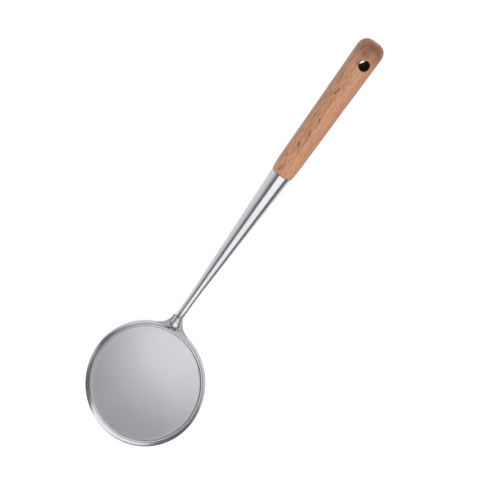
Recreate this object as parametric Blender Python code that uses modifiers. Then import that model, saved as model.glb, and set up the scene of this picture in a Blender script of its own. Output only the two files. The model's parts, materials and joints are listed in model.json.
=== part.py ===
"""A long-handled fine-mesh skimmer, lying as on a table with its mesh dish facing up.

The head is built round its own frame, with the mesh ring's centre as origin and +Z up out of the
dish. The handle is built round its own axis, which stands along +Z of its frame, from the neck to
the butt. Empties then tilt the head against the handle and lay the skimmer on the floor, z = 0.
"""

import math

import bmesh
import bpy
from mathutils import Matrix, Vector

MM = 0.001

# Head: a pressed ring with a neck tab, a clamp ring under it, and the woven mesh between them.
RING_RADIUS = 60.0 * MM
RING_INNER_RADIUS = 54.1 * MM
RING_UNDERSIDE = -0.6 * MM
RING_WALL_TOP = 1.0 * MM
BEAD_HEIGHT = 1.6 * MM
BEAD_HALF_WIDTH = 1.1 * MM
FLANGE_START_HEIGHT = 1.25 * MM
FLANGE_SLOPES = (math.radians(29.0), math.radians(39.0))
FLANGE_EDGE_ROUND = 0.35 * MM
LIP_INNER_RADIUS = 58.8 * MM
LIP_BOTTOM = -1.4 * MM
MESH_THICKNESS = 0.5 * MM
MESH_TOP = -0.9 * MM
MESH_RADIUS = 58.4 * MM
DISH_RADIUS = 53.4 * MM
DISH_DEPTH = 8.0 * MM
CLAMP_RADIUS = 59.5 * MM
CLAMP_INNER_RADIUS = 54.6 * MM
CLAMP_TOP = -1.7 * MM
CLAMP_THICKNESS = 0.9 * MM
TAB_HALF_WIDTH = 5.2 * MM
TAB_FILLET_RADIUS = 17.0 * MM
TAB_END = 71.6 * MM
TAB_TOP = 0.2 * MM
TAB_OVERLAP = 4.0 * MM

# Neck: where the handle's axis meets the head, and how far the handle rises from the ring.
NECK_DISTANCE = 71.3 * MM
NECK_HEIGHT = 2.6 * MM
HANDLE_RISE = math.radians(36.0)
THUMB_TIP = 58.2 * MM
THUMB_BASE = 0.5 * MM
THUMB_HALF_WIDTH = 5.6 * MM
THUMB_HEIGHT = 4.3 * MM
THUMB_ROUND_END = 5.0 * MM
SHOULDER_GAP = 0.4 * MM
PLUG_RADIUS = 2.9 * MM
PLUG_START = -0.6 * MM
PLUG_END = 22.0 * MM

# Handle: a hollow steel shank that flares to the turned beech grip.
SHANK_LENGTH = 174.8 * MM
SHANK_WALL = 0.9 * MM
SHANK_NECK_RADIUS = 4.15 * MM
SHANK_NECK_LENGTH = 16.0 * MM
SHANK_BLEND_LENGTH = 18.0 * MM
SHANK_END_RADIUS = 10.2 * MM
JOINT_GAP = 0.3 * MM
GRIP_LENGTH = 147.4 * MM
GRIP_START_RADIUS = 10.7 * MM
GRIP_SWELL_RADIUS = 11.5 * MM
GRIP_SWELL_LENGTH = 16.0 * MM
GRIP_END_RADIUS = 13.0 * MM
GRIP_DOME_LENGTH = 10.0 * MM
GRIP_END_FLAT_RADIUS = 5.0 * MM
TENON_LENGTH = 30.0 * MM
TENON_CHAMFER = 1.5 * MM
HANGING_HOLE_RADIUS = 5.1 * MM
HANGING_HOLE_FROM_SHANK = 126.5 * MM
PIN_RADIUS = 1.0 * MM
PIN_HEAD_RADIUS = 1.8 * MM
PIN_HEAD_HEIGHT = 0.6 * MM
PIN_DEPTH = 8.0 * MM
PIN_FROM_SHANK_END = 12.0 * MM

RING_STEPS = 72
ROUND_STEPS = 48
PIN_STEPS = 24


def clear_scene():
    for obj in list(bpy.data.objects):
        bpy.data.objects.remove(obj, do_unlink=True)


def new_collection(name):
    collection = bpy.data.collections.new(name)
    bpy.context.scene.collection.children.link(collection)
    return collection


def new_material(name, colour, roughness, metallic):
    material = bpy.data.materials.new(name)
    material.use_nodes = True
    shader = material.node_tree.nodes["Principled BSDF"]
    shader.inputs["Base Color"].default_value = (*colour, 1.0)
    shader.inputs["Roughness"].default_value = roughness
    shader.inputs["Metallic"].default_value = metallic
    return material


def new_empty(name, parent=None):
    empty = bpy.data.objects.new(name, None)
    bpy.context.scene.collection.objects.link(empty)
    empty.parent = parent
    return empty


def new_object(name, mesh, collection, parent, material):
    obj = bpy.data.objects.new(name, mesh)
    collection.objects.link(obj)
    obj.parent = parent
    mesh.materials.append(material)
    return obj


def new_cutter(name, mesh, collection, parent):
    cutter = bpy.data.objects.new(name, mesh)
    collection.objects.link(cutter)
    cutter.parent = parent
    cutter.hide_render = True
    cutter.display_type = "WIRE"
    return cutter


def add_boolean(obj, other, operation):
    modifier = obj.modifiers.new(f"{operation} {other.name}", "BOOLEAN")
    modifier.object = other
    modifier.operation = operation


def outline_mesh(name, profile, closed):
    """A wire of (radius, height) points in the XZ plane, for a Screw to turn."""
    mesh = bpy.data.meshes.new(name)
    edges = [(i, i + 1) for i in range(len(profile) - 1)]
    if closed:
        edges.append((len(profile) - 1, 0))
    mesh.from_pydata([(radius, 0.0, height) for radius, height in profile], edges, [])
    return mesh


def turn(obj, steps):
    screw = obj.modifiers.new("turn", "SCREW")
    screw.axis = "Z"
    screw.angle = math.tau
    screw.steps = steps
    screw.render_steps = steps
    screw.use_merge_vertices = True
    screw.merge_threshold = 0.00001
    screw.use_smooth_shade = True


def cylinder_mesh(name, radius, bottom, top, steps):
    mesh = bpy.data.meshes.new(name)
    shape = bmesh.new()
    bmesh.ops.create_cone(
        shape,
        cap_ends=True,
        segments=steps,
        radius1=radius,
        radius2=radius,
        depth=top - bottom,
        matrix=Matrix.Translation((0.0, 0.0, (bottom + top) / 2)),
    )
    shape.to_mesh(mesh)
    shape.free()
    return mesh


def arc(centre, radius, start, end, steps):
    """Points on an arc, both ends included. Angles are in radians."""
    points = []
    for i in range(steps + 1):
        angle = start + (end - start) * i / steps
        points.append((centre[0] + radius * math.cos(angle), centre[1] + radius * math.sin(angle)))
    return points


def ring_profile():
    """The pressed ring's section: a wall and bead next to the mesh, then a flange that falls outwards."""
    bead_centre = RING_INNER_RADIUS + BEAD_HALF_WIDTH
    bead = []
    for i in range(6):
        angle = math.pi * i / 6
        height = RING_WALL_TOP + (BEAD_HEIGHT - RING_WALL_TOP) * math.sin(angle)
        bead.append((bead_centre - BEAD_HALF_WIDTH * math.cos(angle), height))
    first_slope, last_slope = FLANGE_SLOPES
    flange_start = bead_centre + 1.15 * BEAD_HALF_WIDTH
    flange_width = RING_RADIUS - FLANGE_EDGE_ROUND * (1 - math.sin(last_slope)) - flange_start
    flange_curve = flange_width / (math.sin(last_slope) - math.sin(first_slope))
    flange_centre = (
        flange_start - flange_curve * math.sin(first_slope),
        FLANGE_START_HEIGHT - flange_curve * math.cos(first_slope),
    )
    flange = arc(flange_centre, flange_curve, math.pi / 2 - first_slope, math.pi / 2 - last_slope, 4)
    lip_top = flange[-1][1] - FLANGE_EDGE_ROUND * math.cos(last_slope)
    edge_centre = (RING_RADIUS - FLANGE_EDGE_ROUND, lip_top)
    edge = arc(edge_centre, FLANGE_EDGE_ROUND, math.pi / 2 - last_slope, 0.0, 2)
    lip = [(RING_RADIUS, LIP_BOTTOM), (LIP_INNER_RADIUS, LIP_BOTTOM), (LIP_INNER_RADIUS, RING_UNDERSIDE)]
    return bead + flange + edge[1:] + lip + [(RING_INNER_RADIUS, RING_UNDERSIDE)]


def tab_outline():
    """The neck tab from above: two fillets leave the ring and narrow to the width of the shank."""
    centre_x = TAB_HALF_WIDTH + TAB_FILLET_RADIUS
    centre_y = math.sqrt((RING_RADIUS + TAB_FILLET_RADIUS) ** 2 - centre_x**2)
    at_ring = math.atan2(-centre_y, -centre_x)
    at_end = -math.pi + math.asin((centre_y - TAB_END) / TAB_FILLET_RADIUS)
    right = arc((centre_x, centre_y), TAB_FILLET_RADIUS, at_ring, at_end, 8)
    left = [(-x, y) for x, y in reversed(right)]
    root = right[0][1] - TAB_OVERLAP
    return [(left[-1][0], root), (right[0][0], root)] + right + left


def tab_mesh(name):
    """The tab's outline made a plate as thick as the ring's sheet."""
    mesh = bpy.data.meshes.new(name)
    shape = bmesh.new()
    corners = [shape.verts.new((x, y, RING_UNDERSIDE)) for x, y in tab_outline()]
    face = shape.faces.new(corners)
    lifted = bmesh.ops.extrude_face_region(shape, geom=[face])["geom"]
    moved = [part for part in lifted if isinstance(part, bmesh.types.BMVert)]
    bmesh.ops.translate(shape, verts=moved, vec=(0.0, 0.0, TAB_TOP - RING_UNDERSIDE))
    bmesh.ops.recalc_face_normals(shape, faces=shape.faces)
    shape.to_mesh(mesh)
    shape.free()
    return mesh


def make_rim_frame(parts, cutters, head, steel):
    ring = new_object("rim_frame", outline_mesh("rim_frame", ring_profile(), True), parts, head, steel)
    turn(ring, RING_STEPS)
    add_boolean(ring, new_cutter("neck_tab", tab_mesh("neck_tab"), cutters, head), "UNION")


def make_clamp_ring(parts, head, steel):
    bottom = CLAMP_TOP - CLAMP_THICKNESS
    corner = 0.25 * MM
    profile = [
        (CLAMP_INNER_RADIUS, CLAMP_TOP),
        (CLAMP_RADIUS - corner, CLAMP_TOP),
        (CLAMP_RADIUS, CLAMP_TOP - corner),
        (CLAMP_RADIUS, bottom + corner),
        (CLAMP_RADIUS - corner, bottom),
        (CLAMP_INNER_RADIUS + corner, bottom),
        (CLAMP_INNER_RADIUS, bottom + corner),
    ]
    clamp = new_object("clamp_ring", outline_mesh("clamp_ring", profile, True), parts, head, steel)
    turn(clamp, RING_STEPS)


def dish_surface(steps):
    """(radius, height) on the dish's upper side, from its middle out to the clamped margin."""
    sphere_radius = (DISH_RADIUS**2 + DISH_DEPTH**2) / (2 * DISH_DEPTH)
    centre = MESH_TOP - DISH_DEPTH + sphere_radius
    points = []
    for i in range(steps + 1):
        radius = DISH_RADIUS * i / steps
        points.append((radius, centre - math.sqrt(sphere_radius**2 - radius**2)))
    return points + [(MESH_RADIUS, MESH_TOP)]


def make_mesh_screen(parts, head, mesh_wire):
    """The woven wire cloth as one thin dished sheet, with a flat margin between the two rings."""
    upper = dish_surface(7)
    lower = [(radius, height - MESH_THICKNESS) for radius, height in reversed(upper)]
    outline = outline_mesh("mesh_screen", upper + lower, False)
    turn(new_object("mesh_screen", outline, parts, head, mesh_wire), RING_STEPS)


def thumb_section(distance, lean, width_scale, height_scale):
    """A D-shaped section of the flattened rod end, on a plane that leans back by this angle."""
    points = []
    for i in range(13):
        angle = math.pi * i / 12
        x = THUMB_HALF_WIDTH * width_scale * math.cos(angle)
        up = THUMB_HEIGHT * height_scale * math.sin(angle) ** 0.75 / math.cos(lean)
        y = distance - up * math.sin(lean)
        points.append(Vector((x, y, THUMB_BASE + up * math.cos(lean))))
    return points


def thumb_mesh(name):
    """The rod end, hammered flat: it lies along the tab and ends square against the shank."""
    axis_drop = NECK_HEIGHT - THUMB_BASE
    shoulder = NECK_DISTANCE + axis_drop * math.tan(HANDLE_RISE) - SHOULDER_GAP / math.cos(HANDLE_RISE)
    sections = []
    for i in range(1, 6):
        swing = math.pi / 2 * i / 5
        distance = THUMB_TIP + THUMB_ROUND_END * (1 - math.cos(swing))
        width = math.sin(swing)
        sections.append(thumb_section(distance, 0.0, width, width**0.6))
    sections.append(thumb_section(shoulder, HANDLE_RISE, 1.0, 1.0))
    mesh = bpy.data.meshes.new(name)
    shape = bmesh.new()
    loops = [[shape.verts.new(point) for point in section] for section in sections]
    shape.faces.new(loops[0])
    shape.faces.new(loops[-1])
    for first, second in zip(loops, loops[1:]):
        for i in range(len(first)):
            after = (i + 1) % len(first)
            shape.faces.new((first[i], first[after], second[after], second[i]))
    bmesh.ops.recalc_face_normals(shape, faces=shape.faces)
    shape.to_mesh(mesh)
    shape.free()
    return mesh


def make_neck_tang(parts, cutters, head, handle, steel):
    tang = new_object("neck_tang", thumb_mesh("neck_tang"), parts, head, steel)
    plug = cylinder_mesh("tang_plug", PLUG_RADIUS, PLUG_START, PLUG_END, ROUND_STEPS)
    add_boolean(tang, new_cutter("tang_plug", plug, cutters, handle), "UNION")


def shank_radius(distance):
    """Outer radius this far from the neck: a plain tube that blends into a straight cone."""
    cone_start = SHANK_NECK_LENGTH + SHANK_BLEND_LENGTH / 2
    slope = (SHANK_END_RADIUS - SHANK_NECK_RADIUS) / (SHANK_LENGTH - cone_start)
    if distance <= SHANK_NECK_LENGTH:
        return SHANK_NECK_RADIUS
    if distance >= SHANK_NECK_LENGTH + SHANK_BLEND_LENGTH:
        return SHANK_NECK_RADIUS + slope * (distance - cone_start)
    into_blend = distance - SHANK_NECK_LENGTH
    return SHANK_NECK_RADIUS + slope * into_blend**2 / (2 * SHANK_BLEND_LENGTH)


def make_shank_tube(parts, cutters, handle, steel):
    distances = [0.0]
    for i in range(5):
        distances.append(SHANK_NECK_LENGTH + SHANK_BLEND_LENGTH * i / 4)
    distances.append(SHANK_LENGTH)
    outer = [(shank_radius(distance), distance) for distance in reversed(distances)]
    inner = [(radius - SHANK_WALL, distance) for radius, distance in reversed(outer)]
    outline = outline_mesh("shank_tube", outer + inner, True)
    shank = new_object("shank_tube", outline, parts, handle, steel)
    turn(shank, ROUND_STEPS)
    add_boolean(shank, new_cutter("pin_hole_in_shank", pin_hole_mesh(), cutters, handle), "DIFFERENCE")


def grip_profile():
    """The turned grip from butt to tenon, down its outer side."""
    butt = SHANK_LENGTH + GRIP_LENGTH
    shoulder = SHANK_LENGTH + JOINT_GAP
    tenon_end = SHANK_LENGTH - TENON_LENGTH
    tenon_radius = shank_radius(tenon_end) - SHANK_WALL - JOINT_GAP
    tenon_root_radius = SHANK_END_RADIUS - SHANK_WALL - JOINT_GAP
    round_width = GRIP_END_RADIUS - GRIP_END_FLAT_RADIUS
    profile = [(0.0, butt)]
    for i in range(7):
        swing = math.pi / 2 * i / 6
        radius = GRIP_END_FLAT_RADIUS + round_width * math.sin(swing)
        profile.append((radius, butt - GRIP_DOME_LENGTH * (1 - math.cos(swing))))
    profile.append((GRIP_SWELL_RADIUS, shoulder + GRIP_SWELL_LENGTH))
    profile.append(((GRIP_START_RADIUS + GRIP_SWELL_RADIUS) / 2 + 0.15 * MM, shoulder + GRIP_SWELL_LENGTH * 0.4))
    profile.append((GRIP_START_RADIUS, shoulder + 0.8 * MM))
    profile.append((GRIP_START_RADIUS - 0.6 * MM, shoulder))
    profile.append((tenon_root_radius, shoulder))
    profile.append((tenon_radius, tenon_end + TENON_CHAMFER))
    profile.append((tenon_radius - TENON_CHAMFER, tenon_end))
    profile.append((0.0, tenon_end))
    return profile


def make_beech_grip(parts, cutters, handle, beech):
    outline = outline_mesh("beech_grip", grip_profile(), False)
    grip = new_object("beech_grip", outline, parts, handle, beech)
    turn(grip, ROUND_STEPS)
    half_length = 2 * GRIP_END_RADIUS
    hole = cylinder_mesh("hanging_hole", HANGING_HOLE_RADIUS, -half_length, half_length, ROUND_STEPS)
    cutter = new_cutter("hanging_hole", hole, cutters, handle)
    cutter.location = (0.0, 0.0, SHANK_LENGTH + HANGING_HOLE_FROM_SHANK)
    cutter.rotation_euler = (math.pi / 2, 0.0, 0.0)
    add_boolean(grip, cutter, "DIFFERENCE")
    add_boolean(grip, new_cutter("pin_hole_in_tenon", pin_hole_mesh(), cutters, handle), "DIFFERENCE")


def across_underside(distance, depth_below_skin):
    """Where the pin stands: Z out of the shank's underside, this far under its skin."""
    skin = shank_radius(distance)
    place = Matrix.Translation((0.0, skin - depth_below_skin, distance))
    return place @ Matrix.Rotation(-math.pi / 2, 4, "X")


def pin_hole_mesh():
    """A blind hole through the shank's wall into the tenon, wider than the pin by the joint gap."""
    hole = cylinder_mesh("pin_hole", PIN_RADIUS + JOINT_GAP, 0.0, PIN_DEPTH + 3 * MM, PIN_STEPS)
    hole.transform(across_underside(SHANK_LENGTH - PIN_FROM_SHANK_END, PIN_DEPTH + JOINT_GAP))
    return hole


def make_handle_pin(parts, handle, steel):
    """The round-headed pin that locks the tenon in the shank, driven in from underneath."""
    profile = [(0.0, JOINT_GAP + PIN_HEAD_HEIGHT)]
    for i in range(1, 4):
        swing = math.pi / 2 * i / 3
        height = JOINT_GAP + PIN_HEAD_HEIGHT * math.cos(swing)
        profile.append((PIN_HEAD_RADIUS * math.sin(swing), height))
    profile[-1] = (PIN_HEAD_RADIUS, JOINT_GAP + 0.1 * MM)
    profile += [(PIN_HEAD_RADIUS, JOINT_GAP), (PIN_RADIUS, JOINT_GAP)]
    profile += [(PIN_RADIUS, -PIN_DEPTH), (0.0, -PIN_DEPTH)]
    pin = new_object("handle_pin", outline_mesh("handle_pin", profile, False), parts, handle, steel)
    pin.matrix_local = across_underside(SHANK_LENGTH - PIN_FROM_SHANK_END, 0.0)
    turn(pin, PIN_STEPS)


def place_head(head):
    """Moves the neck point to the origin and tilts the head so that the handle runs along +Y."""
    to_neck = Matrix.Translation((0.0, -NECK_DISTANCE, -NECK_HEIGHT))
    head.matrix_local = Matrix.Rotation(-HANDLE_RISE, 4, "X") @ to_neck


def lay_on_floor(skimmer, parts):
    """Rests the neck and the grip's swell on z = 0, then centres the box over the origin."""
    swell_distance = SHANK_LENGTH + JOINT_GAP + GRIP_SWELL_LENGTH
    skimmer.rotation_euler.x = math.atan2(GRIP_SWELL_RADIUS - SHANK_NECK_RADIUS, swell_distance)
    bpy.context.view_layer.update()
    graph = bpy.context.evaluated_depsgraph_get()
    heights = []
    lengths = []
    for obj in parts.objects:
        placed = obj.evaluated_get(graph)
        for vertex in placed.to_mesh().vertices:
            point = placed.matrix_world @ vertex.co
            heights.append(point.z)
            lengths.append(point.y)
        placed.to_mesh_clear()
    skimmer.location = (0.0, -(min(lengths) + max(lengths)) / 2, -min(heights))
    bpy.context.view_layer.update()


def build():
    clear_scene()
    parts = new_collection("mesh_skimmer")
    cutters = new_collection("cutters")
    cutters.hide_render = True
    steel = new_material("satin steel", (0.62, 0.61, 0.63), 0.28, 1.0)
    mesh_wire = new_material("woven steel mesh", (0.55, 0.54, 0.57), 0.45, 1.0)
    beech = new_material("oiled beech", (0.60, 0.31, 0.18), 0.5, 0.0)
    skimmer = new_empty("skimmer")
    head = new_empty("head", skimmer)
    place_head(head)
    handle = new_empty("handle", skimmer)
    handle.rotation_euler.x = -math.pi / 2
    make_rim_frame(parts, cutters, head, steel)
    make_clamp_ring(parts, head, steel)
    make_mesh_screen(parts, head, mesh_wire)
    make_neck_tang(parts, cutters, head, handle, steel)
    make_shank_tube(parts, cutters, handle, steel)
    make_beech_grip(parts, cutters, handle, beech)
    make_handle_pin(parts, handle, steel)
    lay_on_floor(skimmer, parts)


build()
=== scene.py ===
import json
import math

import bmesh
import bpy
from mathutils import Matrix, Vector


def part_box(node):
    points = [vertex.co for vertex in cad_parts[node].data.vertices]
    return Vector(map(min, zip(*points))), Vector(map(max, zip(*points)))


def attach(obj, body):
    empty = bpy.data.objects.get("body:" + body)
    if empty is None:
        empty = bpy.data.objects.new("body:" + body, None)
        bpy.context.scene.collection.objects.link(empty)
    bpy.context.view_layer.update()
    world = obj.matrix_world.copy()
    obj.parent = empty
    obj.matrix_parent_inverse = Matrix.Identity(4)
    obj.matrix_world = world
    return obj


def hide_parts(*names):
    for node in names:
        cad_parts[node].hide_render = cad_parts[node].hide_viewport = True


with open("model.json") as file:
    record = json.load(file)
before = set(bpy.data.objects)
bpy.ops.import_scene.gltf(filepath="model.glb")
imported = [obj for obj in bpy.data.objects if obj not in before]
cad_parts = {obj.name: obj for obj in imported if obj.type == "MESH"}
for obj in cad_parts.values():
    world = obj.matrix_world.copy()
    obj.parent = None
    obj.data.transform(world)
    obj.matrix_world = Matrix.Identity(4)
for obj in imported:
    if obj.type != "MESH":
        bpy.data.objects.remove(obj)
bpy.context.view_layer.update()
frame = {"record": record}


# ---------------------------------------------------------------- pressed ring
# One stamping of stainless sheet: a raised bead next to the mesh, a flange that slopes away from it,
# and a neck tab that flares out of the flange for the handle. Satin, with a concentric finish.

MM = 0.001
TINY = 1e-6
RING_RADIUS = 60.0 * MM
RING_INNER_RADIUS = 54.1 * MM
RING_UNDERSIDE = -0.6 * MM
RING_WALL_TOP = 0.5 * MM
BEAD_HEIGHT = 1.8 * MM
BEAD_HALF_WIDTH = 1.2 * MM
BEAD_STEPS = 14
CREASE_SHARE = 1.15
FLANGE_START_HEIGHT = 1.2 * MM
FLANGE_SLOPES = (29.0, 39.0)
FLANGE_STEPS = 12
LIP_INNER_RADIUS = 58.8 * MM
LIP_BOTTOM = -1.4 * MM
RING_STEPS = 192
SMOOTH_BELOW = 40
CLAMP_MIDDLE_DEPTH = 2.15 * MM
CLAMP_THICKNESS = 0.9 * MM
TAB_HALF_WIDTH = 5.2 * MM
TAB_FILLET_RADIUS = 17.0 * MM
TAB_ROOT = 56.9 * MM
TAB_END = 71.6 * MM
TAB_TOP = 0.2 * MM
TAB_ROWS = 14
TAB_COLUMNS = 8

# The head is tilted to the handle, and that tilt is read from the clamp ring's flat, tilted box.
clamp_low, clamp_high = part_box("clamp_ring")
clamp_size = clamp_high - clamp_low
head_tilt = math.atan2(
    clamp_size.z * clamp_size.x - clamp_size.y * CLAMP_THICKNESS,
    clamp_size.y * clamp_size.x - clamp_size.z * CLAMP_THICKNESS,
)
head_turn = Matrix.Rotation(-head_tilt, 4, "X")
head_middle = (clamp_low + clamp_high) / 2 + head_turn.to_3x3() @ Vector((0.0, 0.0, CLAMP_MIDDLE_DEPTH))
head_place = Matrix.Translation(head_middle) @ head_turn


def choose(piece, test):
    """In edit mode, selects the points that pass the test, and the edges and faces between them."""
    shape = bmesh.from_edit_mesh(piece.data)
    for element in [*shape.faces, *shape.edges, *shape.verts]:
        element.select_set(False)
    for point in shape.verts:
        point.select_set(test(point.co))
    shape.select_flush(True)
    bmesh.update_edit_mesh(piece.data)


def new_piece(name):
    """Names the primitive that was just added and opens it in edit mode."""
    piece = bpy.context.object
    piece.name = name
    piece.data.name = name
    bpy.ops.object.transform_apply(location=True, rotation=True, scale=True)
    bpy.ops.object.mode_set(mode="EDIT")
    bpy.ops.mesh.select_mode(type="VERT")
    bpy.ops.mesh.select_all(action="SELECT")
    return piece


def turned(name, profile, steps):
    """A piece turned about +Z: a circle for the profile's first point, and one extrusion for each next."""
    bpy.ops.object.select_all(action="DESELECT")
    radius, height = profile[0]
    bpy.ops.mesh.primitive_circle_add(vertices=steps, radius=radius, location=(0.0, 0.0, height))
    piece = new_piece(name)
    for next_radius, next_height in profile[1:]:
        bpy.ops.mesh.extrude_region_move(
            TRANSFORM_OT_translate={"value": (0.0, 0.0, next_height - height)}
        )
        scale = next_radius / radius
        bpy.ops.transform.resize(value=(scale, scale, 1.0), center_override=(0.0, 0.0, next_height))
        radius, height = next_radius, next_height
    return piece


def cap(piece, radius, height):
    """Closes the open end of this radius at this height with one face, inset once to keep it tidy."""
    choose(piece, lambda p: abs(p.z - height) < 10 * TINY and abs(p.xy.length - radius) < 10 * TINY)
    bpy.ops.mesh.edge_face_add()
    bpy.ops.mesh.inset(thickness=radius * 0.4, depth=0.0)


def whole(piece):
    """Welds the seams, turns every face outwards and leaves edit mode."""
    bpy.ops.mesh.select_all(action="SELECT")
    bpy.ops.mesh.remove_doubles(threshold=TINY)
    bpy.ops.mesh.normals_make_consistent(inside=False)
    bpy.ops.object.mode_set(mode="OBJECT")


def apply_boolean(piece, other, operation):
    """Joins or cuts the piece with the other one, which is used up."""
    boolean = piece.modifiers.new(operation.lower(), "BOOLEAN")
    boolean.operation = operation
    boolean.solver = "EXACT"
    boolean.object = other
    bpy.context.view_layer.objects.active = piece
    bpy.ops.object.modifier_apply(modifier=boolean.name)
    bpy.data.objects.remove(other, do_unlink=True)


def settle(piece, place, smooth_below, finish, slot, *nodes):
    """Moves the piece's mesh to its place, smooths it, gives it its finish and body, and hides the nodes it
    stands for; the slot is not used.
    """
    bpy.ops.object.select_all(action="DESELECT")
    piece.select_set(True)
    bpy.context.view_layer.objects.active = piece
    piece.matrix_world = place
    bpy.ops.object.transform_apply(location=True, rotation=True, scale=True)
    bpy.ops.object.shade_smooth_by_angle(angle=math.radians(smooth_below))
    piece.data.materials.clear()
    piece.data.materials.append(finish)
    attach(piece, "root")
    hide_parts(*nodes)


def arc(centre, radius, start, end, steps):
    """Points on an arc between two angles in degrees."""
    points = []
    for i in range(steps + 1):
        angle = math.radians(start + (end - start) * i / steps)
        points.append((centre[0] + radius * math.cos(angle), centre[1] + radius * math.sin(angle)))
    return points


bead_centre = RING_INNER_RADIUS + BEAD_HALF_WIDTH
ring_profile = [(RING_INNER_RADIUS, RING_UNDERSIDE)]
for i in range(BEAD_STEPS):
    angle = math.pi * i / BEAD_STEPS
    height = RING_WALL_TOP + (BEAD_HEIGHT - RING_WALL_TOP) * math.sin(angle)
    ring_profile.append((bead_centre - BEAD_HALF_WIDTH * math.cos(angle), height))
# The flange is part of a circle whose slope grows from the crease to the outer edge.
crease = bead_centre + CREASE_SHARE * BEAD_HALF_WIDTH
first_slope, last_slope = FLANGE_SLOPES
sines = [math.sin(math.radians(slope)) for slope in FLANGE_SLOPES]
flange_curve = (RING_RADIUS - crease) / (sines[1] - sines[0])
flange_centre_z = FLANGE_START_HEIGHT - flange_curve * math.cos(math.radians(first_slope))
flange_centre = (crease - flange_curve * sines[0], flange_centre_z)
ring_profile += arc(flange_centre, flange_curve, 90 - first_slope, 90 - last_slope, FLANGE_STEPS)
ring_profile += [(RING_RADIUS, LIP_BOTTOM), (LIP_INNER_RADIUS, LIP_BOTTOM)]
ring_profile += [(LIP_INNER_RADIUS, RING_UNDERSIDE), ring_profile[0]]
ring = turned("pressed_ring", ring_profile, RING_STEPS)
whole(ring)

# The tab starts as a plate of even width, and each row of its points is widened to meet the fillets.
fillet_x = TAB_HALF_WIDTH + TAB_FILLET_RADIUS
fillet_y = math.sqrt((RING_RADIUS + TAB_FILLET_RADIUS) ** 2 - fillet_x**2)
fillet_root = fillet_y * RING_RADIUS / (RING_RADIUS + TAB_FILLET_RADIUS)
bpy.ops.object.select_all(action="DESELECT")
tab_length = TAB_END - TAB_ROOT
bpy.ops.mesh.primitive_grid_add(
    x_subdivisions=TAB_COLUMNS,
    y_subdivisions=TAB_ROWS,
    size=tab_length,
    location=(0.0, TAB_ROOT + tab_length / 2, TAB_TOP),
)
tab = new_piece("neck_tab")
bpy.ops.transform.resize(value=(2 * TAB_HALF_WIDTH / tab_length, 1.0, 1.0))
for i in range(TAB_ROWS + 1):
    row = TAB_ROOT + tab_length * i / TAB_ROWS
    reach = max(row, fillet_root)
    half_width = fillet_x - math.sqrt(TAB_FILLET_RADIUS**2 - (fillet_y - reach) ** 2)
    choose(tab, lambda p: abs(p.y - row) < TINY)
    stretch = half_width / TAB_HALF_WIDTH
    bpy.ops.transform.resize(value=(stretch, 1.0, 1.0), center_override=(0.0, row, TAB_TOP))
bpy.ops.mesh.select_all(action="SELECT")
bpy.ops.mesh.extrude_region_move(TRANSFORM_OT_translate={"value": (0.0, 0.0, RING_UNDERSIDE - TAB_TOP)})
whole(tab)
apply_boolean(ring, tab, "UNION")


# Finish: the nodes that every metal and wooden surface of the skimmer shares are built once as groups.

def new_group(name, inputs, outputs):
    """An empty shader node group with these sockets."""
    group = bpy.data.node_groups.new(name, "ShaderNodeTree")
    for label, kind, value in inputs:
        socket = group.interface.new_socket(name=label, in_out="INPUT", socket_type=kind)
        if value is not None:
            socket.default_value = value
    for label, kind in outputs:
        group.interface.new_socket(name=label, in_out="OUTPUT", socket_type=kind)
    return group, group.nodes.new("NodeGroupInput"), group.nodes.new("NodeGroupOutput")


def node(tree, kind, values=(), **settings):
    """A node with these settings, and with these values on its inputs."""
    made = tree.nodes.new(kind)
    for key, value in settings.items():
        setattr(made, key, value)
    for key, value in dict(values).items():
        made.inputs[key].default_value = value
    return made


def maths(tree, operation, first, second=None, clamp=False):
    """A Math node's output. Each operand is a socket or a number."""
    made = node(tree, "ShaderNodeMath", operation=operation, use_clamp=clamp)
    for index, operand in enumerate((first, second)):
        if isinstance(operand, (int, float)):
            made.inputs[index].default_value = operand
        elif operand is not None:
            tree.links.new(operand, made.inputs[index])
    return made.outputs[0]


def blend_colour(tree, factor, first, second):
    """A colour between two others. Each is a socket, or a number or colour."""
    made = node(tree, "ShaderNodeMix", data_type="RGBA")
    for index, operand in ((0, factor), (6, first), (7, second)):
        if isinstance(operand, bpy.types.NodeSocket):
            tree.links.new(operand, made.inputs[index])
        else:
            made.inputs[index].default_value = operand
    return made.outputs[2]


def spread(tree, value, low, high, to_low, to_high):
    """A value moved from one range to another, held at its ends."""
    made = node(tree, "ShaderNodeMapRange", {1: low, 2: high, 3: to_low, 4: to_high}, clamp=True)
    tree.links.new(value, made.inputs[0])
    return made.outputs[0]


def scaled_noise(tree, vector, scale, detail, roughness=0.55):
    """Noise on a vector that is stretched by a socket or three numbers first."""
    stretch = node(tree, "ShaderNodeVectorMath", operation="MULTIPLY")
    tree.links.new(vector, stretch.inputs[0])
    if isinstance(scale, bpy.types.NodeSocket):
        tree.links.new(scale, stretch.inputs[1])
    else:
        stretch.inputs[1].default_value = scale
    noise = node(tree, "ShaderNodeTexNoise", {"Scale": 1.0, "Detail": detail, "Roughness": roughness})
    tree.links.new(stretch.outputs[0], noise.inputs["Vector"])
    return noise.outputs["Fac"]


# Grain: long fine scratches or fibres, as a tone and as a height.
grain, grain_in, grain_out = new_group(
    "grain",
    [
        ("Vector", "NodeSocketVector", None),
        ("Fineness", "NodeSocketVector", (1.0, 1.0, 1.0)),
        ("Contrast", "NodeSocketFloat", 1.0),
    ],
    [("Tone", "NodeSocketFloat"), ("Height", "NodeSocketFloat")],
)
grain_noise = scaled_noise(grain, grain_in.outputs["Vector"], grain_in.outputs["Fineness"], 5.0, 0.65)
grain_middle = maths(grain, "SUBTRACT", grain_noise, 0.5)
grain_swing = maths(grain, "MULTIPLY", grain_middle, grain_in.outputs["Contrast"])
grain.links.new(maths(grain, "ADD", grain_swing, 0.5, clamp=True), grain_out.inputs["Tone"])
grain.links.new(grain_noise, grain_out.inputs["Height"])

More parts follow.
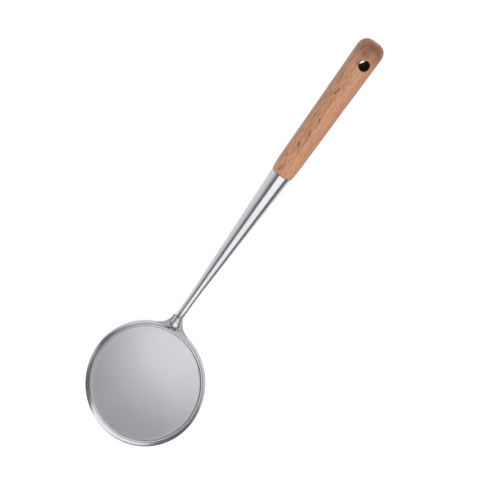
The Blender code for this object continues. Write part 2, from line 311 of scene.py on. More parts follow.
# Edge wear: a broken mask on corners, from how far a rounded normal turns from the true one.
wear, wear_in, wear_out = new_group(
    "edge_wear",
    [
        ("Vector", "NodeSocketVector", None),
        ("Width", "NodeSocketFloat", 0.0005),
        ("Amount", "NodeSocketFloat", 1.0),
    ],
    [("Mask", "NodeSocketFloat")],
)
wear_round = node(wear, "ShaderNodeBevel", samples=6)
wear.links.new(wear_in.outputs["Width"], wear_round.inputs["Radius"])
wear_surface = node(wear, "ShaderNodeNewGeometry")
wear_turn = node(wear, "ShaderNodeVectorMath", operation="DOT_PRODUCT")
wear.links.new(wear_round.outputs[0], wear_turn.inputs[0])
wear.links.new(wear_surface.outputs["Normal"], wear_turn.inputs[1])
wear_edge = spread(wear, wear_turn.outputs["Value"], 0.99, 0.86, 0.0, 1.0)
wear_noise = scaled_noise(wear, wear_in.outputs["Vector"], (900.0, 900.0, 900.0), 3.0)
wear_break = spread(wear, wear_noise, 0.35, 0.6, 0.3, 1.0)
wear_both = maths(wear, "MULTIPLY", wear_edge, wear_break)
wear_mask = maths(wear, "MULTIPLY", wear_both, wear_in.outputs["Amount"], clamp=True)
wear.links.new(wear_mask, wear_out.inputs["Mask"])

# Handling marks: soft cloudy patches, a little darker, where steel is duller and oiled wood is shinier.
marks, marks_in, marks_out = new_group(
    "handling_marks",
    [("Vector", "NodeSocketVector", None), ("Size", "NodeSocketFloat", 0.02)],
    [("Mask", "NodeSocketFloat")],
)
marks_scale = maths(marks, "DIVIDE", 1.0, marks_in.outputs["Size"])
marks_vector = node(marks, "ShaderNodeVectorMath", operation="SCALE")
marks.links.new(marks_in.outputs["Vector"], marks_vector.inputs[0])
marks.links.new(marks_scale, marks_vector.inputs["Scale"])
marks_noise = scaled_noise(marks, marks_vector.outputs[0], (1.0, 1.0, 1.0), 4.0, 0.6)
marks.links.new(spread(marks, marks_noise, 0.35, 0.7, 0.0, 1.0), marks_out.inputs["Mask"])


def new_finish(name, place):
    """A material, its shader, and Object coordinates read in the frame of that part of the skimmer."""
    material = bpy.data.materials.new(name)
    material.use_nodes = True
    tree = material.node_tree
    shader = tree.nodes["Principled BSDF"]
    coordinates = node(tree, "ShaderNodeTexCoord")
    local = node(tree, "ShaderNodeMapping", vector_type="TEXTURE")
    local.inputs["Location"].default_value = place.to_translation()
    local.inputs["Rotation"].default_value = place.to_euler()
    tree.links.new(coordinates.outputs["Object"], local.inputs["Vector"])
    return material, tree, shader, local.outputs["Vector"]


def use_group(tree, group, vector, **values):
    """One of the shared groups, placed in a material with its own values."""
    made = node(tree, "ShaderNodeGroup", node_tree=group)
    tree.links.new(vector, made.inputs["Vector"])
    for label, value in values.items():
        made.inputs[label].default_value = value
    return made.outputs


GRAIN_CONTRAST = 0.5
GRAIN_RELIEF = 0.006 * MM
WORN_STEEL = (0.86, 0.85, 0.86, 1.0)


def steel_finish(name, place, base, grain_vector, fineness, gloss):
    """Satin stainless steel: grain in its tone, gloss and height, cloudy marks, and bright worn edges."""
    material, tree, shader, local = new_finish(name, place)
    fibres = use_group(tree, grain, grain_vector(tree, local), Fineness=fineness, Contrast=GRAIN_CONTRAST)
    cloud = use_group(tree, marks, local, Size=0.022)
    worn = use_group(tree, wear, local, Width=0.0004, Amount=0.7)
    dark = tuple(channel * 0.82 for channel in base[:3]) + (1.0,)
    light = tuple(min(channel * 1.12, 1.0) for channel in base[:3]) + (1.0,)
    brushed = blend_colour(tree, fibres["Tone"], dark, light)
    clouded = blend_colour(tree, maths(tree, "MULTIPLY", cloud["Mask"], 0.18), brushed, dark)
    tree.links.new(blend_colour(tree, worn["Mask"], clouded, WORN_STEEL), shader.inputs["Base Color"])
    low, high = gloss
    cloud_dulling = maths(tree, "MULTIPLY", cloud["Mask"], 0.08)
    fibre_dulling = spread(tree, fibres["Tone"], 0.0, 1.0, high, low)
    tree.links.new(maths(tree, "ADD", cloud_dulling, fibre_dulling), shader.inputs["Roughness"])
    shader.inputs["Metallic"].default_value = 1.0
    raised = node(tree, "ShaderNodeBump", {"Strength": 0.5, "Distance": GRAIN_RELIEF})
    tree.links.new(fibres["Height"], raised.inputs["Height"])
    tree.links.new(raised.outputs[0], shader.inputs["Normal"])
    return material


def around_ring(tree, local):
    """Distance from the ring's middle and height above it, so that the grain runs round the ring."""
    parts = node(tree, "ShaderNodeSeparateXYZ")
    tree.links.new(local, parts.inputs[0])
    flat = node(tree, "ShaderNodeCombineXYZ")
    tree.links.new(parts.outputs[0], flat.inputs[0])
    tree.links.new(parts.outputs[1], flat.inputs[1])
    distance = node(tree, "ShaderNodeVectorMath", operation="LENGTH")
    tree.links.new(flat.outputs[0], distance.inputs[0])
    joined = node(tree, "ShaderNodeCombineXYZ")
    tree.links.new(distance.outputs["Value"], joined.inputs[0])
    tree.links.new(parts.outputs[2], joined.inputs[1])
    wander = scaled_noise(tree, local, (40.0, 40.0, 40.0), 2.0)
    tree.links.new(maths(tree, "MULTIPLY", wander, 0.0012), joined.inputs[2])
    return joined.outputs[0]


RING_STEEL = (0.47, 0.465, 0.485, 1.0)
RING_GRAIN = (2600.0, 1200.0, 700.0)
ring_steel = steel_finish("ring_steel", head_place, RING_STEEL, around_ring, RING_GRAIN, (0.14, 0.24))
settle(ring, head_place, SMOOTH_BELOW, ring_steel, "satin_steel", "rim_frame")


# ---------------------------------------------------------------- clamp ring
# A flat ring of the same steel under the mesh, with rounded edges. It holds the cloth's margin against
# the pressed ring. Whatever fixes it there is out of sight, and isn't modelled.

CLAMP_RADIUS = 59.5 * MM
CLAMP_INNER_RADIUS = 54.6 * MM
CLAMP_TOP = -1.7 * MM
CLAMP_EDGE_ROUND = 0.3 * MM
CLAMP_EDGE_STEPS = 4

clamp_bottom = CLAMP_TOP - CLAMP_THICKNESS
inner_x = CLAMP_INNER_RADIUS + CLAMP_EDGE_ROUND
outer_x = CLAMP_RADIUS - CLAMP_EDGE_ROUND
upper_z = CLAMP_TOP - CLAMP_EDGE_ROUND
lower_z = clamp_bottom + CLAMP_EDGE_ROUND
clamp_corners = [(inner_x, lower_z), (inner_x, upper_z), (outer_x, upper_z), (outer_x, lower_z)]
clamp_profile = []
for i, corner in enumerate(clamp_corners):
    start = 270 - 90 * i
    clamp_profile += arc(corner, CLAMP_EDGE_ROUND, start, start - 90, CLAMP_EDGE_STEPS)
clamp_profile.append(clamp_profile[0])
clamp = turned("clamp_ring_visual", clamp_profile, RING_STEPS)
whole(clamp)
settle(clamp, head_place, SMOOTH_BELOW, ring_steel, "satin_steel", "clamp_ring")


# ---------------------------------------------------------------- mesh dish
# Plain-woven stainless wire cloth, about fifty wires to the inch, pressed into a shallow dish with
# a flat margin that the two rings grip. It is a thin sheet here, and its wires are in the finish.

MESH_TOP = -0.9 * MM
MESH_SHEET = 0.12 * MM
MESH_RADIUS = 58.4 * MM
DISH_RADIUS = 53.4 * MM
DISH_DEPTH = 8.0 * MM
DISH_MIDDLE = 0.4 * MM
MESH_STEPS = 144
MESH_ROWS = 24
MESH_SMOOTH_BELOW = 30

dish_sphere = (DISH_RADIUS**2 + DISH_DEPTH**2) / (2 * DISH_DEPTH)
dish_bottom = MESH_TOP - DISH_DEPTH
dish_profile = [(DISH_MIDDLE, dish_bottom)]
for i in range(1, MESH_ROWS + 1):
    radius = DISH_RADIUS * i / MESH_ROWS
    height = dish_bottom + dish_sphere - math.sqrt(dish_sphere**2 - radius**2)
    dish_profile.append((radius, height))
dish_profile.append((MESH_RADIUS, MESH_TOP))
lower_profile = [(radius, height - MESH_SHEET) for radius, height in dish_profile]
mesh_dish = turned("mesh_dish", lower_profile + dish_profile[::-1], MESH_STEPS)
cap(mesh_dish, DISH_MIDDLE, dish_bottom)
cap(mesh_dish, DISH_MIDDLE, dish_bottom - MESH_SHEET)
whole(mesh_dish)

CLOTH_PITCH = 0.5 * MM
WIRE_SHARE = 0.6
WIRE_CRIMP = 0.6
CLOTH_TINT = (0.40, 0.345, 0.42, 1.0)
WIRE_STEEL = (0.46, 0.45, 0.48, 1.0)
WIRE_STEEL_SHADE = (0.32, 0.31, 0.335, 1.0)
CLOTH_STAIN = (0.45, 0.42, 0.43, 1.0)

cloth, tree, shader, local = new_finish("woven_steel_cloth", head_place)
pitches = node(tree, "ShaderNodeVectorMath", operation="SCALE")
pitches.inputs["Scale"].default_value = 1.0 / CLOTH_PITCH
tree.links.new(local, pitches.inputs[0])
across = node(tree, "ShaderNodeSeparateXYZ")
tree.links.new(pitches.outputs[0], across.inputs[0])
off_wire = []
wire_number = []
for axis in (0, 1):
    position = across.outputs[axis]
    off_wire.append(maths(tree, "ABSOLUTE", maths(tree, "SUBTRACT", maths(tree, "FRACT", position), 0.5)))
    wire_number.append(maths(tree, "FLOOR", position))
wire_height = []
for axis in (0, 1):
    along = across.outputs[1 - axis]
    phase = maths(tree, "ADD", maths(tree, "SUBTRACT", along, 0.5), wire_number[axis])
    over = maths(tree, "COSINE", maths(tree, "MULTIPLY", phase, math.pi))
    if axis == 1:
        over = maths(tree, "MULTIPLY", over, -1.0)
    bulge = spread(tree, off_wire[axis], 0.0, WIRE_SHARE / 2, 1.0, 0.0)
    rounded = maths(tree, "SQRT", bulge)
    lifted = maths(tree, "ADD", rounded, maths(tree, "MULTIPLY", over, WIRE_CRIMP))
    on_wire = maths(tree, "LESS_THAN", off_wire[axis], WIRE_SHARE / 2)
    wire_height.append(maths(tree, "MULTIPLY", maths(tree, "ADD", lifted, 1.0), on_wire))
weave = maths(tree, "DIVIDE", maths(tree, "MAXIMUM", *wire_height), 2.0 + WIRE_CRIMP)
holes = maths(tree, "MULTIPLY", *[maths(tree, "GREATER_THAN", off, WIRE_SHARE / 2) for off in off_wire])
tree.links.new(maths(tree, "SUBTRACT", 1.0, holes), shader.inputs["Alpha"])
stain = use_group(tree, marks, local, Size=0.035)
streaks = use_group(tree, grain, local, Fineness=(900.0, 60.0, 200.0), Contrast=0.7)
# Painted shade: where the weave is low, at the wires' sides and where one wire dips under another, the wire
# is painted darker.
wire_tone_with_painted_shade = blend_colour(tree, spread(tree, weave, 0.25, 0.9, 0.0, 1.0), WIRE_STEEL_SHADE, WIRE_STEEL)
brushed = blend_colour(tree, maths(tree, "MULTIPLY", streaks["Tone"], 0.25), wire_tone_with_painted_shade, WIRE_STEEL_SHADE)
stained = blend_colour(tree, maths(tree, "MULTIPLY", stain["Mask"], 0.12), brushed, CLOTH_STAIN)
mottling = scaled_noise(tree, local, (120.0, 120.0, 120.0), 3.0)
mottled = blend_colour(tree, spread(tree, mottling, 0.38, 0.62, 0.0, 0.16), stained, CLOTH_TINT)
tree.links.new(mottled, shader.inputs["Base Color"])
tree.links.new(spread(tree, stain["Mask"], 0.0, 1.0, 0.40, 0.48), shader.inputs["Roughness"])
shader.inputs["Metallic"].default_value = 1.0
woven_bump = node(tree, "ShaderNodeBump", {"Strength": 0.25, "Distance": 0.1 * MM})
tree.links.new(weave, woven_bump.inputs["Height"])
tree.links.new(woven_bump.outputs[0], shader.inputs["Normal"])
settle(mesh_dish, head_place, MESH_SMOOTH_BELOW, cloth, "steel_mesh", "mesh_screen")


# ---------------------------------------------------------------- neck tang
# The end of a steel rod, hammered to a flat thumb that is welded on the tab. Behind its shoulder the
# rod goes on, round, into the shank.

NECK_DISTANCE = 71.3 * MM
NECK_HEIGHT = 2.6 * MM
HANDLE_RISE = math.radians(36.0)
THUMB_TIP = 58.2 * MM
THUMB_BASE = 0.5 * MM
THUMB_HALF_WIDTH = 5.6 * MM
THUMB_HEIGHT = 3.9 * MM
THUMB_BACK_LENGTH = 10.0 * MM
THUMB_BACK_NARROWING = 0.68
THUMB_BACK_RISE = 1.4
THUMB_STEPS = 48
THUMB_EDGE_ROUND = 0.35 * MM
THUMB_EDGE_STEPS = 3
THUMB_SHARPEST_SMOOTH = 50
SHOULDER_GAP = 0.4 * MM
PLUG_RADIUS = 2.9 * MM
PLUG_START = -0.6 * MM
PLUG_END = 22.0 * MM
PLUG_STEPS = 48

thumb_middle = THUMB_TIP + THUMB_HALF_WIDTH
bpy.ops.object.select_all(action="DESELECT")
bpy.ops.mesh.primitive_uv_sphere_add(
    segments=THUMB_STEPS,
    ring_count=THUMB_STEPS // 2,
    radius=THUMB_HALF_WIDTH,
    location=(0.0, thumb_middle, THUMB_BASE),
)
thumb = new_piece("neck_thumb")
choose(thumb, lambda p: p.z < THUMB_BASE - TINY)
bpy.ops.mesh.delete(type="VERT")
bpy.ops.mesh.select_all(action="SELECT")
flatten = THUMB_HEIGHT / THUMB_HALF_WIDTH
bpy.ops.transform.resize(value=(1.0, 1.0, flatten), center_override=(0.0, thumb_middle, THUMB_BASE))
choose(thumb, lambda p: p.y > thumb_middle + TINY)
bpy.ops.mesh.delete(type="VERT")
choose(thumb, lambda p: abs(p.y - thumb_middle) < TINY)
bpy.ops.mesh.edge_face_add()
bpy.ops.mesh.extrude_region_move(TRANSFORM_OT_translate={"value": (0.0, THUMB_BACK_LENGTH, 0.0)})
back_middle = (0.0, thumb_middle + THUMB_BACK_LENGTH, THUMB_BASE)
bpy.ops.transform.resize(value=(THUMB_BACK_NARROWING, 1.0, THUMB_BACK_RISE), center_override=back_middle)
choose(thumb, lambda p: abs(p.z - THUMB_BASE) < TINY and p.y < thumb_middle + TINY)
bpy.ops.mesh.edge_face_add()
bpy.ops.mesh.select_all(action="SELECT")
handle_way = Vector((0.0, math.cos(HANDLE_RISE), math.sin(HANDLE_RISE)))
shoulder = Vector((0.0, NECK_DISTANCE, NECK_HEIGHT)) - handle_way * SHOULDER_GAP
bpy.ops.mesh.bisect(plane_co=shoulder, plane_no=handle_way, clear_outer=True, use_fill=True)
whole(thumb)
rounding = thumb.modifiers.new("rounding", "BEVEL")
rounding.width = THUMB_EDGE_ROUND
rounding.segments = THUMB_EDGE_STEPS
rounding.limit_method = "ANGLE"
rounding.angle_limit = math.radians(THUMB_SHARPEST_SMOOTH)
bpy.context.view_layer.objects.active = thumb
bpy.ops.object.modifier_apply(modifier=rounding.name)

# The handle's own frame: +Z runs from the neck to the butt, which the record's mount gives.
SHANK_LENGTH = 174.8 * MM
GRIP_LENGTH = 147.4 * MM
butt_mount = frame["record"]["mounts"][0]
butt = Vector(butt_mount["pos_m"])
handle_axis = Vector(butt_mount["axis"]).normalized()
handle_lean = -math.atan2(handle_axis.y, handle_axis.z)
handle_turn = Matrix.Rotation(handle_lean, 4, "X")
handle_place = Matrix.Translation(butt - handle_axis * (SHANK_LENGTH + GRIP_LENGTH)) @ handle_turn


def along_handle(tree, local):
    """The handle's own coordinates, unchanged: its grain runs along +Z."""
    return local


NECK_STEEL = (0.46, 0.45, 0.475, 1.0)
NECK_GRAIN = (900.0, 900.0, 90.0)
neck_steel = steel_finish("neck_steel", handle_place, NECK_STEEL, along_handle, NECK_GRAIN, (0.2, 0.3))
settle(thumb, head_place, SMOOTH_BELOW, neck_steel, "satin_steel", "neck_tang")

plug = turned("neck_rod", [(PLUG_RADIUS, PLUG_START), (PLUG_RADIUS, PLUG_END)], PLUG_STEPS)
cap(plug, PLUG_RADIUS, PLUG_START)
cap(plug, PLUG_RADIUS, PLUG_END)
whole(plug)
settle(plug, handle_place, SMOOTH_BELOW, neck_steel, "satin_steel", "neck_tang")


# ---------------------------------------------------------------- shank
# A hollow shank rolled and welded from stainless sheet: a plain neck, then a long cone that opens to
# the grip. It is satin, with the polishing grain along it.

SHANK_WALL = 0.9 * MM
SHANK_NECK_RADIUS = 4.15 * MM
SHANK_NECK_LENGTH = 16.0 * MM
SHANK_BLEND_LENGTH = 18.0 * MM
SHANK_END_RADIUS = 10.2 * MM
LIP_ROUND = 0.3 * MM
LIP_STEPS = 4
SHANK_STEPS = 128
SHANK_BLEND_ROWS = 8
SHANK_CONE_ROWS = 10
SHANK_CONE_ROW_GAP = 14 * MM


def shank_radius(distance):
    """Outer radius this far from the neck: a plain tube that blends into a straight cone."""
    cone_start = SHANK_NECK_LENGTH + SHANK_BLEND_LENGTH / 2
    slope = (SHANK_END_RADIUS - SHANK_NECK_RADIUS) / (SHANK_LENGTH - cone_start)
    into_blend = min(max(distance - SHANK_NECK_LENGTH, 0.0), SHANK_BLEND_LENGTH)
    past_blend = max(distance - SHANK_NECK_LENGTH - SHANK_BLEND_LENGTH, 0.0)
    return SHANK_NECK_RADIUS + slope * (into_blend**2 / (2 * SHANK_BLEND_LENGTH) + past_blend)


stations = [LIP_ROUND, SHANK_NECK_LENGTH / 2]
for i in range(SHANK_BLEND_ROWS + 1):
    stations.append(SHANK_NECK_LENGTH + SHANK_BLEND_LENGTH * i / SHANK_BLEND_ROWS)
for i in reversed(range(SHANK_CONE_ROWS)):
    stations.append(SHANK_LENGTH - LIP_ROUND - SHANK_CONE_ROW_GAP * i)
outer_wall = [(shank_radius(distance), distance) for distance in stations]
inner_wall = [(radius - SHANK_WALL, distance) for radius, distance in reversed(outer_wall)]
neck_lip = arc((SHANK_NECK_RADIUS - LIP_ROUND, LIP_ROUND), LIP_ROUND, -90, 0, LIP_STEPS)[:-1]
open_lip_middle = (SHANK_END_RADIUS - LIP_ROUND, SHANK_LENGTH - LIP_ROUND)
open_lip = arc(open_lip_middle, LIP_ROUND, 0, 90, LIP_STEPS)[1:]
shank_profile = neck_lip + outer_wall + open_lip + inner_wall
shank_profile += [(SHANK_NECK_RADIUS - SHANK_WALL, 0.0), shank_profile[0]]
shank = turned("shank", shank_profile, SHANK_STEPS)
whole(shank)

SHANK_STEEL = (0.48, 0.475, 0.49, 1.0)
SHANK_GRAIN = (1600.0, 1600.0, 45.0)
shank_steel = steel_finish("shank_steel", handle_place, SHANK_STEEL, along_handle, SHANK_GRAIN, (0.14, 0.24))
settle(shank, handle_place, SMOOTH_BELOW, shank_steel, "satin_steel", "shank_tube")


# ---------------------------------------------------------------- handle pin
# A small round-headed steel pin, driven through the shank's underside into the tenon to lock it.

PIN_RADIUS = 1.0 * MM
PIN_HEAD_RADIUS = 1.8 * MM
PIN_HEAD_HEIGHT = 0.6 * MM
PIN_DEPTH = 8.0 * MM
PIN_FROM_SHANK_END = 12.0 * MM
PIN_STEPS = 48
PIN_HEAD_ROWS = 8
JOINT_GAP = 0.3 * MM

pin_profile = [(PIN_RADIUS, -PIN_DEPTH), (PIN_RADIUS, 0.0), (PIN_HEAD_RADIUS, 0.0)]
for i in range(PIN_HEAD_ROWS):
    swing = math.pi / 2 * i / PIN_HEAD_ROWS
    head_radius = PIN_HEAD_RADIUS * math.cos(swing)
    pin_profile.append((head_radius, JOINT_GAP + PIN_HEAD_HEIGHT * math.sin(swing)))
pin = turned("handle_pin_visual", pin_profile, PIN_STEPS)
cap(pin, *pin_profile[0])
cap(pin, *pin_profile[-1])
whole(pin)
pin_distance = SHANK_LENGTH - PIN_FROM_SHANK_END
pin_stand = Matrix.Translation((0.0, shank_radius(pin_distance), pin_distance))
pin_place = handle_place @ pin_stand @ Matrix.Rotation(-math.pi / 2, 4, "X")
settle(pin, pin_place, SMOOTH_BELOW, neck_steel, "satin_steel", "handle_pin")


# ---------------------------------------------------------------- beech grip
# Turned from one piece of steamed beech, sanded and oiled: a short swell at the shank, a body that
# widens slowly to a domed butt, a drilled hole to hang it by, and a tenon pinned in the shank.

GRIP_START_RADIUS = 10.7 * MM
GRIP_SWELL_RADIUS = 11.5 * MM
GRIP_SWELL_LENGTH = 16.0 * MM
GRIP_END_RADIUS = 13.0 * MM
GRIP_DOME_LENGTH = 10.0 * MM
GRIP_END_FLAT_RADIUS = 5.0 * MM
GRIP_FRONT_ROUND = 0.8 * MM
TENON_LENGTH = 30.0 * MM
TENON_CHAMFER = 1.5 * MM
HOLE_RADIUS = 5.1 * MM
HOLE_FROM_SHANK = 126.5 * MM
HOLE_STEPS = 96
GRIP_STEPS = 128
GRIP_FRONT_STEPS = 6
GRIP_SWELL_ROWS = 10
GRIP_BODY_ROWS = 20
GRIP_DOME_ROWS = 16

butt_distance = SHANK_LENGTH + GRIP_LENGTH
shoulder_distance = SHANK_LENGTH + JOINT_GAP
tenon_end = SHANK_LENGTH - TENON_LENGTH
tenon_radius = shank_radius(tenon_end) - SHANK_WALL - JOINT_GAP
tenon_root_radius = SHANK_END_RADIUS - SHANK_WALL - JOINT_GAP
grip_profile = [(tenon_radius - TENON_CHAMFER, tenon_end), (tenon_radius, tenon_end + TENON_CHAMFER)]
grip_profile.append((tenon_root_radius, shoulder_distance))
front = (GRIP_START_RADIUS - GRIP_FRONT_ROUND, shoulder_distance + GRIP_FRONT_ROUND)
grip_profile += arc(front, GRIP_FRONT_ROUND, -90, 0, GRIP_FRONT_STEPS)
for i in range(1, GRIP_SWELL_ROWS + 1):
    share = i / GRIP_SWELL_ROWS
    swell = GRIP_START_RADIUS + (GRIP_SWELL_RADIUS - GRIP_START_RADIUS) * math.sin(share * math.pi / 2)
    grip_profile.append((swell, front[1] + (GRIP_SWELL_LENGTH - GRIP_FRONT_ROUND) * share))
body_start = shoulder_distance + GRIP_SWELL_LENGTH
body_length = butt_distance - GRIP_DOME_LENGTH - body_start
for i in range(1, GRIP_BODY_ROWS):
    share = i / GRIP_BODY_ROWS
    radius = GRIP_SWELL_RADIUS + (GRIP_END_RADIUS - GRIP_SWELL_RADIUS) * share
    grip_profile.append((radius, body_start + body_length * share))
for i in range(GRIP_DOME_ROWS + 1):
    swing = math.pi / 2 * i / GRIP_DOME_ROWS
    radius = GRIP_END_FLAT_RADIUS + (GRIP_END_RADIUS - GRIP_END_FLAT_RADIUS) * math.cos(swing)
    grip_profile.append((radius, butt_distance - GRIP_DOME_LENGTH * (1 - math.sin(swing))))
grip = turned("grip", grip_profile, GRIP_STEPS)
cap(grip, *grip_profile[0])
cap(grip, *grip_profile[-1])
whole(grip)
hole_middle = Vector((0.0, 0.0, SHANK_LENGTH + HOLE_FROM_SHANK))
bpy.ops.object.select_all(action="DESELECT")
bpy.ops.mesh.primitive_cylinder_add(
    vertices=HOLE_STEPS,
    radius=HOLE_RADIUS,
    depth=4 * GRIP_END_RADIUS,
    location=hole_middle,
    rotation=(math.pi / 2, 0.0, 0.0),
)
apply_boolean(grip, bpy.context.object, "DIFFERENCE")

BEECH = (0.49, 0.225, 0.11, 1.0)
BEECH_LIGHT = (0.70, 0.36, 0.195, 1.0)
BEECH_ORANGE = (0.36, 0.125, 0.043, 1.0)
BEECH_RED = (0.20, 0.068, 0.032, 1.0)
BEECH_FLECK = (0.13, 0.045, 0.02, 1.0)
BEECH_GREY = (0.28, 0.19, 0.165, 1.0)
# Painted shade for the hanging hole: the ring round its rim and its wall.
HOLE_PAINTED_SHADE = (0.03, 0.011, 0.006, 1.0)
HOLE_WALL_PAINTED_SHADE_LIGHT = (0.08, 0.026, 0.012, 1.0)

beech, tree, shader, local = new_finish("oiled_beech", handle_place)
place_in = node(tree, "ShaderNodeSeparateXYZ")
tree.links.new(local, place_in.inputs[0])
sideways, upright, lengthways = place_in.outputs
fibres = use_group(tree, grain, local, Fineness=(420.0, 420.0, 22.0), Contrast=2.2)
fine_fibres = use_group(tree, grain, local, Fineness=(2200.0, 2200.0, 90.0), Contrast=1.0)
colour = blend_colour(tree, fibres["Tone"], BEECH, BEECH_LIGHT)
# Growth lines: thin wavy bands that close in long arches, as the turning cuts through them.
wavy = scaled_noise(tree, local, (60.0, 60.0, 16.0), 3.0)
across_rings = maths(tree, "MULTIPLY", sideways, 330.0)
depth_in_tree = maths(tree, "ADD", across_rings, maths(tree, "MULTIPLY", wavy, 8.0))
rings = maths(tree, "FRACT", maths(tree, "ADD", maths(tree, "MULTIPLY", upright, 110.0), depth_in_tree))
ring_line = spread(tree, rings, 0.70, 1.0, 0.0, 1.0)
left_side = spread(tree, sideways, 0.006, -0.006, 0.45, 1.0)
ring_share = maths(tree, "MULTIPLY", maths(tree, "MULTIPLY", ring_line, left_side), 0.55)
colour = blend_colour(tree, ring_share, colour, BEECH_RED)
# Ray flecks: fine dark dashes all over, and a few larger ones on the -x side.
dashes = scaled_noise(tree, local, (900.0, 900.0, 150.0), 1.0, 0.4)
crowd = scaled_noise(tree, local, (90.0, 90.0, 30.0), 2.0)
dash_mask = spread(tree, dashes, 0.53, 0.63, 0.0, 1.0)
dash_place = maths(tree, "MULTIPLY", spread(tree, crowd, 0.38, 0.6, 0.45, 1.0), left_side)
dash_share = maths(tree, "MULTIPLY", maths(tree, "MULTIPLY", dash_mask, dash_place), 0.55)
colour = blend_colour(tree, dash_share, colour, BEECH_RED)
blots = scaled_noise(tree, local, (430.0, 430.0, 140.0), 0.0, 0.4)
blot_place = spread(tree, sideways, 0.0, -0.003, 0.0, 1.0)
blot_mask = maths(tree, "MULTIPLY", spread(tree, blots, 0.69, 0.75, 0.0, 0.85), blot_place)
colour = blend_colour(tree, blot_mask, colour, BEECH_FLECK)
# Painted light: a darker orange is painted on the +x side as shade where it turns away, a grey is painted
# along the -x edge as edge shading, and a butt that turns red-brown in patches.
painted_side_shade = spread(tree, sideways, 0.005, 0.0105, 0.0, 0.72)
colour = blend_colour(tree, painted_side_shade, colour, BEECH_ORANGE)
# Painted edge shading: the -x edge of the grip is greyed.
colour = blend_colour(tree, spread(tree, sideways, -0.0095, -0.0122, 0.0, 0.8), colour, BEECH_GREY)
butt_patch = spread(tree, scaled_noise(tree, local, (110.0, 110.0, 70.0), 3.0), 0.4, 0.62, 0.75, 1.0)
near_butt = spread(tree, lengthways, butt_distance - 24 * MM, butt_distance - 4 * MM, 0.0, 0.92)
colour = blend_colour(tree, maths(tree, "MULTIPLY", butt_patch, near_butt), colour, BEECH_RED)
# Painted shade: a dark ring is painted round the hole's edge, where shade falls into the hole.
from_hole_z = maths(tree, "SUBTRACT", lengthways, hole_middle.z)
squares = [maths(tree, "POWER", from_hole_z, 2.0), maths(tree, "POWER", sideways, 2.0)]
from_hole = maths(tree, "SQRT", maths(tree, "ADD", *squares))
hole_rim_painted_shade = spread(tree, from_hole, HOLE_RADIUS + 0.05 * MM, HOLE_RADIUS + 0.5 * MM, 1.0, 0.0)
colour = blend_colour(tree, hole_rim_painted_shade, colour, HOLE_PAINTED_SHADE)
rubbed = use_group(tree, wear, local, Width=0.0006, Amount=0.6)
off_hole_rim_shade = maths(tree, "SUBTRACT", 1.0, hole_rim_painted_shade)
colour = blend_colour(tree, maths(tree, "MULTIPLY", rubbed["Mask"], off_hole_rim_shade), colour, BEECH_LIGHT)
handled = use_group(tree, marks, local, Size=0.03)
colour = blend_colour(tree, maths(tree, "MULTIPLY", handled["Mask"], 0.15), colour, BEECH_ORANGE)
tree.links.new(colour, shader.inputs["Base Color"])
tree.links.new(spread(tree, handled["Mask"], 0.0, 1.0, 0.52, 0.38), shader.inputs["Roughness"])
pores = node(tree, "ShaderNodeBump", {"Strength": 0.35, "Distance": 0.06 * MM})
relief = maths(tree, "SUBTRACT", fine_fibres["Height"], maths(tree, "MULTIPLY", dash_mask, 0.4))
tree.links.new(relief, pores.inputs["Height"])
tree.links.new(pores.outputs[0], shader.inputs["Normal"])
settle(grip, handle_place, SMOOTH_BELOW, beech, "beech", "beech_grip")

# The hole's wall is painted near black as shade and made matt, so it has a second material of its own.
hole_wall_shade_finish, tree, shader, local = new_finish("hole_wall_painted_shade", handle_place)
hole_wall_grain = use_group(tree, grain, local, Fineness=(700.0, 700.0, 60.0), Contrast=1.6)
tree.links.new(blend_colour(tree, hole_wall_grain["Tone"], HOLE_PAINTED_SHADE, HOLE_WALL_PAINTED_SHADE_LIGHT), shader.inputs["Base Color"])
tree.links.new(spread(tree, hole_wall_grain["Tone"], 0.0, 1.0, 0.85, 1.0), shader.inputs["Roughness"])
shader.inputs["Specular IOR Level"].default_value = 0.1
grip.data.materials.append(hole_wall_shade_finish)
to_handle = handle_place.inverted()
for face in grip.data.polygons:
    from_middle = to_handle @ face.center - hole_middle
    face_way = to_handle.to_3x3() @ face.normal
    if math.hypot(from_middle.x, from_middle.z) < HOLE_RADIUS + 0.05 * MM and abs(face_way.y) < 0.1:
        face.material_index = 1


# ---------------------------------------------------------------- studio
# A pale floor that glows to white, under a wide overhead softbox and beside a weak panel, in a dim room,
# so that the satin steel shows one bright band between darker ones. The camera looks down from its left.

FLOOR_SIZE = 12.0
FLOOR_COLOUR = (0.55, 0.55, 0.55, 1.0)
FLOOR_ROUGHNESS = 0.9
FLOOR_GLOW_COLOUR = (1.0, 1.0, 1.0, 1.0)
FLOOR_GLOW = 0.75
SOFTBOX_HEIGHT = 1.6
SOFTBOX_PLACE = (0.4, 0.1)
SOFTBOX_SIZE = (2.4, 2.6)
SOFTBOX_POWER = 33.5
PANEL_DISTANCE = 2.6
PANEL_SIZE = (1.4, 3.0)
PANEL_POWER = 10.0
ROOM_LIGHT = (0.25, 0.25, 0.265, 1.0)

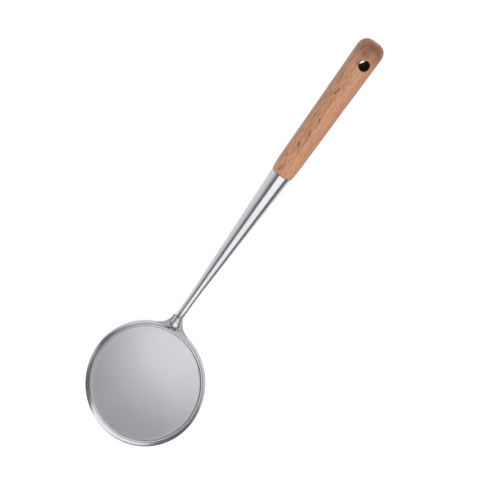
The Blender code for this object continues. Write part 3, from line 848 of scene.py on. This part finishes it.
bpy.ops.object.select_all(action="DESELECT")
bpy.ops.mesh.primitive_plane_add(size=FLOOR_SIZE)
floor = bpy.context.object
floor.name = "studio_floor"
floor_white = bpy.data.materials.new("floor_white")
floor_white.use_nodes = True
floor_shader = floor_white.node_tree.nodes["Principled BSDF"]
floor_shader.inputs["Base Color"].default_value = FLOOR_COLOUR
floor_shader.inputs["Roughness"].default_value = FLOOR_ROUGHNESS
floor_shader.inputs["Emission Color"].default_value = FLOOR_GLOW_COLOUR
floor_shader.inputs["Emission Strength"].default_value = FLOOR_GLOW
floor.data.materials.append(floor_white)


def area_light(name, place, turn, size, power):
    """A rectangular area light that shines along its own -Z."""
    light = bpy.data.lights.new(name, "AREA")
    light.shape = "RECTANGLE"
    light.size, light.size_y = size
    light.energy = power
    holder = bpy.data.objects.new(name, light)
    holder.location = place
    holder.rotation_euler = turn
    bpy.context.scene.collection.objects.link(holder)


panel_place = (-PANEL_DISTANCE, 0.0, PANEL_SIZE[0] / 2)
area_light("softbox", (*SOFTBOX_PLACE, SOFTBOX_HEIGHT), (0.0, 0.0, 0.0), SOFTBOX_SIZE, SOFTBOX_POWER)
area_light("side_panel", panel_place, (0.0, -math.pi / 2, 0.0), PANEL_SIZE, PANEL_POWER)

room = bpy.data.worlds.new("room")
room.use_nodes = True
room.node_tree.nodes["Background"].inputs["Color"].default_value = ROOM_LIGHT
bpy.context.scene.world = room

CAMERA_PLACE = Vector((-0.3394, 0.3382, 1.1298))
CAMERA_WAY = Vector((0.2913, -0.2841, -0.9135)).normalized()
CAMERA_UP = Vector((-0.4789, 0.7833, -0.3964))
CAMERA_LENS = 93.6
CAMERA_SENSOR = 36.0

camera_data = bpy.data.cameras.new("camera")
camera_data.lens = CAMERA_LENS
camera_data.sensor_width = CAMERA_SENSOR
camera = bpy.data.objects.new("camera", camera_data)
camera_right = CAMERA_WAY.cross(CAMERA_UP).normalized()
camera_turn = Matrix((camera_right, camera_right.cross(CAMERA_WAY), -CAMERA_WAY)).transposed()
camera.matrix_world = Matrix.Translation(CAMERA_PLACE) @ camera_turn.to_4x4()
bpy.context.scene.collection.objects.link(camera)
bpy.context.scene.camera = camera
bpy.context.scene.view_settings.view_transform = "Standard"
